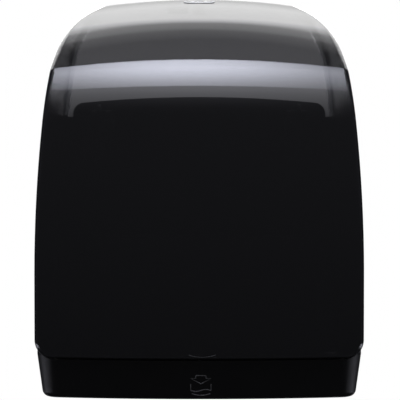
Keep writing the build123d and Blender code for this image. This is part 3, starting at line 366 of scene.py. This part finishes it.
def see_through_plastic(name, low_colour, high_colour, fade, bending, depth_tint, density):
    """Polished plastic, satin at its sides, with a tint that changes between the heights in fade."""
    tree, shader, material = new_material(name)
    flow = noise(tree, *flow_marks)
    haze = noise(tree, *haze_marks)
    place = tree.nodes.new("ShaderNodeTexCoord")
    level = split(tree, place.outputs["Object"])["Z"]
    height = math_node(tree, "ADD", level, product(tree, flow, flow_reach))
    share = ranged(tree, height, 0.0, 1.0, *fade)
    tree.links.new(blended(tree, share, low_colour, high_colour), shader.inputs["Base Color"])
    sideways = math_node(tree, "ABSOLUTE", split(tree, place.outputs["Normal"])["X"])
    satin = ranged(tree, sideways, 0.0, satin_roughness, *satin_span)
    roughness = math_node(tree, "ADD", ranged(tree, haze, *haze_roughness), satin)
    tree.links.new(roughness, shader.inputs["Roughness"])
    shader.inputs["IOR"].default_value = bending
    shader.inputs["Transmission Weight"].default_value = 1.0
    inside = tree.nodes.new("ShaderNodeVolumeAbsorption")
    inside.inputs["Color"].default_value = (*depth_tint, 1)
    inside.inputs["Density"].default_value = density
    tree.links.new(inside.outputs["Volume"], tree.nodes["Material Output"].inputs["Volume"])
    return material


def drawn_steel(name, colour, roughness, stretch):
    """Steel with a fine grain, drawn out into lines along the axes where stretch is small."""
    tree, shader, material = new_material(name)
    lines = noise(tree, *steel_lines, stretch)
    stains = noise(tree, *steel_stains)
    low, high = (roughness + step for step in steel_spread)
    tree.links.new(shaded(tree, stains, colour, steel_shades), shader.inputs["Base Color"])
    tree.links.new(ranged(tree, lines, low, high), shader.inputs["Roughness"])
    tree.links.new(bumped(tree, lines, *steel_relief), shader.inputs["Normal"])
    shader.inputs["Metallic"].default_value = 1.0
    return material


def soft_rubber(name, colour):
    """Dull rubber with a fine pitted face."""
    tree, shader, material = new_material(name)
    pits = noise(tree, *rubber_pits)
    dust = noise(tree, *rubber_dust)
    tree.links.new(shaded(tree, dust, colour, rubber_shades), shader.inputs["Base Color"])
    tree.links.new(ranged(tree, pits, *rubber_roughness), shader.inputs["Roughness"])
    tree.links.new(bumped(tree, pits, *rubber_relief), shader.inputs["Normal"])
    return material


finishes = {}
for maker, looks in (
    (moulded_plastic, moulded_looks),
    (see_through_plastic, see_through_looks),
    (drawn_steel, steel_looks),
    (soft_rubber, rubber_looks),
):
    for name, look in looks.items():
        finishes[name] = maker(name, *look)
for entry in frame["record"]["subparts"]:
    nodes[entry["node"]].material_slots[0].material = finishes[entry["material_slot"]]


# Pieces
def placed(name, data):
    """New object of the given data, linked into the scene."""
    piece = bpy.data.objects.new(name, data)
    bpy.context.scene.collection.objects.link(piece)
    return piece


def tube(name, paths, radius):
    """Mesh tubes of the given radius along open paths of points."""
    curve = bpy.data.curves.new(name, "CURVE")
    curve.dimensions = "3D"
    curve.bevel_depth = radius
    curve.bevel_resolution = tube_facets
    curve.use_fill_caps = True
    for path in paths:
        spline = curve.splines.new("POLY")
        spline.points.add(len(path) - 1)
        for point, place in zip(spline.points, path):
            point.co = (*place, 1)
    draft = bpy.data.objects.new(name, curve)
    mesh = bpy.data.meshes.new_from_object(draft)
    bpy.data.objects.remove(draft)
    for polygon in mesh.polygons:
        polygon.use_smooth = True
    return placed(name, mesh)


def finished(piece, body, finish):
    """Gives the piece its slot and finish and makes it ride on its body."""
    piece.data.materials.append(finishes[finish])
    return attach(piece, body)


def helix(centre, low, high, radius, turns, start=0.0):
    """Points of an upright coil about centre, from low to high."""
    steps = turns * turn_steps
    return [
        (
            centre[0] + radius * math.cos(start + math.tau * step / turn_steps),
            centre[1] + radius * math.sin(start + math.tau * step / turn_steps),
            low + (high - low) * step / steps,
        )
        for step in range(steps + 1)
    ]


def side_places(node):
    """Middles of the two solids of a node, left and right, with their outer radius, foot and head."""
    low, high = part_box(node)
    inner = min(vertex.co.x for vertex in nodes[node].data.vertices if vertex.co.x > 0)
    radius = (high.x - inner) / 2
    offset = inner + radius
    middle = (low.y + high.y) / 2
    return [(-offset, middle), (offset, middle)], radius, low.z, high.z


def arm_coils():
    """Torsion springs under the roll arms, with a leg to the housing and one along the arm."""
    places, outer, low, high = side_places("arm_springs")
    radius = outer - arm_wire / 2
    foot, head = low + arm_wire / 2, high - arm_wire / 2
    leg = Vector((0, arm_leg, 0))
    paths = []
    for place in places:
        start = 0.0 if place[0] > 0 else math.pi
        coil = helix(place, foot, head, radius, arm_turns, start)
        paths.append([Vector(coil[0]) + leg, *coil, Vector(coil[-1]) - leg])
    return tube("arm_coils", paths, arm_wire / 2)


def pinch_coils():
    """Compression springs above the pinch roller's blocks."""
    places, outer, low, high = side_places("pinch_springs")
    radius = outer - pinch_wire / 2
    foot, head = low + pinch_wire / 2, high - pinch_wire / 2
    paths = [helix(place, foot, head, radius, pinch_turns) for place in places]
    return tube("pinch_coils", paths, pinch_wire / 2)


def laid_on(piece, node, flatness):
    """Flattens a piece drawn in the plane y = 0 and lays it on the front of a node."""
    for vertex in piece.data.vertices:
        start = (vertex.co.x, cad_box[0][1] - laying_distance, vertex.co.z)
        place = nodes[node].ray_cast(start, (0, 1, 0))[1]
        vertex.co.y = place.y + vertex.co.y * flatness
    return piece


def pull_sign():
    """Outlined arrow that points down, above an open sheet with a waved end and a curl below it."""
    wave = [
        (
            -1.0 + step * sign_step,
            wave_height - wave_depth * math.sin(math.tau * step / wave_steps),
        )
        for step in range(wave_steps + 1)
    ]
    curl = [
        (
            curl_start + step * sign_step,
            curl_height - curl_depth * math.sin(math.pi * step / curl_steps),
        )
        for step in range(curl_steps + 1)
    ]
    paths = [sign_arrow + sign_arrow[:1], [(-1.0, 0.0)] + wave + [(1.0, 0.0)], curl]
    drawn = [
        [(x * sign_half + sign_shift, 0, z * sign_half - sign_drop) for x, z in path] for path in paths
    ]
    return laid_on(tube("pull_sign", drawn, sign_line), "lower_skirt", sign_flatness)


def thumb_ridge():
    """Fine smile-shaped ridge for the thumb, above the cover's lower edge."""
    shares = [2 * step / ridge_steps - 1 for step in range(ridge_steps + 1)]
    path = [
        (ridge_shift + ridge_half * share, 0, -ridge_drop - ridge_sag * (1 - share**2))
        for share in shares
    ]
    return laid_on(tube("thumb_ridge", [path], ridge_line), "cover_shell", ridge_flatness)


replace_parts(finished(arm_coils(), "housing", "spring_steel"), "arm_springs")
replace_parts(finished(pinch_coils(), "housing", "spring_steel"), "pinch_springs")
finished(pull_sign(), "cover", "sign_grey")
finished(thumb_ridge(), "cover", "ridge_grey")


# Stage and light
def stage_sheet(name, corners, grain, greys):
    """Flat sheet with the given corners, of a dull material between two greys."""
    mesh = bpy.data.meshes.new(name)
    mesh.from_pydata(corners, [], [list(range(len(corners)))])
    tree, shader, material = new_material(name)
    dark, light = ((grey, grey, grey) for grey in greys)
    tree.links.new(blended(tree, noise(tree, *grain), dark, light), shader.inputs["Base Color"])
    shader.inputs["Roughness"].default_value = stage_roughness
    mesh.materials.append(material)
    return placed(name, mesh)


def floor():
    """Pale round floor under the object."""
    height = cad_box[0][2] - floor_drop
    middle = (cad_box[0][1] + cad_box[1][1]) / 2
    rim = [
        (
            floor_radius * math.cos(math.tau * side / floor_sides),
            middle + floor_radius * math.sin(math.tau * side / floor_sides),
            height,
        )
        for side in range(floor_sides)
    ]
    piece = stage_sheet("floor", rim, floor_grain, floor_greys)
    piece.visible_glossy = False


def painted_shade_patch():
    """Dark sheet of painted shade behind the screw holes, seen through the cover only."""
    low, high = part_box("back_housing")
    left, right = low.x + painted_shade_inset[0], high.x - painted_shade_inset[0]
    foot, head = low.z + painted_shade_inset[1], high.z - painted_shade_inset[2]
    back = high.y + painted_shade_gap
    corners = [(left, back, foot), (right, back, foot), (right, back, head), (left, back, head)]
    piece = stage_sheet("painted_shade_patch", corners, painted_shade_grain, painted_shade_greys)
    piece.visible_camera = False
    piece.visible_diffuse = False
    piece.visible_glossy = False
    piece.visible_shadow = False


def panel_light(name, centre, turn, size, power):
    """Rectangular lamp, seen in reflections only. Returns its tree, its emission and places on it."""
    lamp = bpy.data.lights.new(name, "AREA")
    lamp.shape = "RECTANGLE"
    lamp.size, lamp.size_y = size
    lamp.energy = power
    lamp.use_nodes = True
    piece = placed(name, lamp)
    tilt, heading = turn
    piece.location = centre
    piece.rotation_euler = (math.radians(tilt), 0, math.radians(heading))
    piece.visible_camera = False
    piece.visible_transmission = False
    tree = lamp.node_tree
    places = split(tree, tree.nodes.new("ShaderNodeNewGeometry").outputs["Parametric"])
    return tree, tree.nodes["Emission"], places


def softbox():
    """Softbox above the front, brightest near the middle of its rear half."""
    tree, emission, places = panel_light(
        "softbox", softbox_centre, softbox_turn, softbox_size, softbox_power
    )
    emission.inputs["Color"].default_value = (*softbox_colour, 1)
    terms = []
    for axis, peak, falloff in zip("XY", softbox_peak, softbox_falloff):
        away = math_node(tree, "SUBTRACT", places[axis], peak)
        terms.append(product(tree, away, away, falloff))
    fading = math_node(tree, "POWER", math.exp(-1), math_node(tree, "ADD", *terms))
    tree.links.new(fading, emission.inputs["Strength"])


def backlight():
    """White panel behind the object, brightest in a band above its middle."""
    tree, emission, places = panel_light(
        "backlight", backlight_centre, backlight_turn, backlight_size, backlight_power
    )
    ramp = tree.nodes.new("ShaderNodeValToRGB")
    stops = ramp.color_ramp.elements
    stops.remove(stops[0])
    for height_share, level in backlight_shares:
        stops.new(height_share).color = (level, level, level, 1)
    stops.remove(stops[-1])
    tree.links.new(places["Y"], ramp.inputs["Fac"])
    tree.links.new(ramp.outputs["Color"], emission.inputs["Strength"])


def white_zone(tree, axes, rays):
    """White part of the mirrored room, behind the object: high up, and in a band at the middle."""
    across = math_node(tree, "ABSOLUTE", axes["X"])
    above = ranged(tree, axes["Z"], 0.0, 1.0, *above_span)
    level_part = product(
        tree,
        ranged(tree, axes["Z"], 0.0, 1.0, *level_span),
        ranged(tree, axes["Z"], 1.0, 0.0, *above_span),
    )
    extra = ranged(tree, rays["Is Transmission Ray"], *middle_levels, 0.0, 1.0)
    strength = math_node(tree, "ADD", product(tree, extra, level_part), 1.0)
    middle = product(tree, ranged(tree, across, 1.0, 0.0, *middle_span), strength)
    depth = math_node(tree, "SUBTRACT", axes["Y"], product(tree, across, white_bow))
    behind = ranged(tree, depth, 0.0, 1.0, *white_span)
    return product(tree, behind, math_node(tree, "MAXIMUM", above, middle))


def dim_zone(tree, axes):
    """Dim part of the mirrored room, all around, with a glow high in front."""
    ahead = ranged(tree, axes["Y"], 1.0, 0.0, *glow_depth)
    rise = math_node(tree, "POWER", ranged(tree, axes["Z"], 0.0, 1.0, *glow_height), glow_power)
    around = product(
        tree,
        ranged(tree, axes["Z"], *front_levels, *front_span),
        ranged(tree, axes["Y"], 1.0, back_share, *front_span),
    )
    return math_node(tree, "ADD", product(tree, rise, ahead, glow_level), around)


def side_zone(tree, axes):
    """Lighter part of the mirrored room, low at both sides and fainter towards the back."""
    slanted = math_node(tree, "SUBTRACT", axes["Z"], product(tree, axes["Y"], side_slope))
    low = product(
        tree,
        ranged(tree, axes["Z"], 0.0, 1.0, *side_foot),
        ranged(tree, slanted, 1.0, 0.0, *side_head),
    )
    beside = ranged(tree, axes["Y"], 0.0, 1.0, *side_front)
    return product(tree, beside, low, ranged(tree, axes["Y"], *side_levels, *side_back))


def room():
    """White where it is looked at; in reflections it has a white, a dim and a lighter part."""
    world = bpy.data.worlds.new("room")
    bpy.context.scene.world = world
    world.use_nodes = True
    tree = world.node_tree
    background = tree.nodes["Background"]
    rays = tree.nodes.new("ShaderNodeLightPath").outputs
    axes = split(tree, tree.nodes.new("ShaderNodeTexCoord").outputs["Generated"])
    white = white_zone(tree, axes, rays)
    shade = math_node(tree, "ADD", dim_zone(tree, axes), side_zone(tree, axes))
    mirrored = product(tree, math_node(tree, "MAXIMUM", shade, white), rays["Is Glossy Ray"])
    plain = product(tree, math_node(tree, "SUBTRACT", 1.0, rays["Is Glossy Ray"]), room_level)
    level = math_node(tree, "ADD", mirrored, plain)
    looked_at = math_node(tree, "MAXIMUM", rays["Is Camera Ray"], rays["Is Transmission Ray"])
    tree.links.new(math_node(tree, "MAXIMUM", level, looked_at), background.inputs["Strength"])
    tinted = math_node(tree, "SUBTRACT", rays["Is Glossy Ray"], white)
    tree.links.new(blended(tree, tinted, (1, 1, 1), front_tint), background.inputs["Color"])


def camera():
    """Camera at the photograph's place."""
    lens = bpy.data.cameras.new("camera")
    lens.sensor_width = camera_sensor
    lens.lens = camera_lens
    lens.shift_x, lens.shift_y = camera_shift
    piece = placed("camera", lens)
    piece.location = (0, cad_box[0][1] - camera_distance, camera_height)
    piece.rotation_euler = (math.radians(90), 0, 0)
    bpy.context.scene.camera = piece


floor()
# Dark sheet of painted shade behind the screw holes
painted_shade_patch()
softbox()
backlight()
room()
camera()
bpy.context.scene.view_settings.view_transform = "Standard"
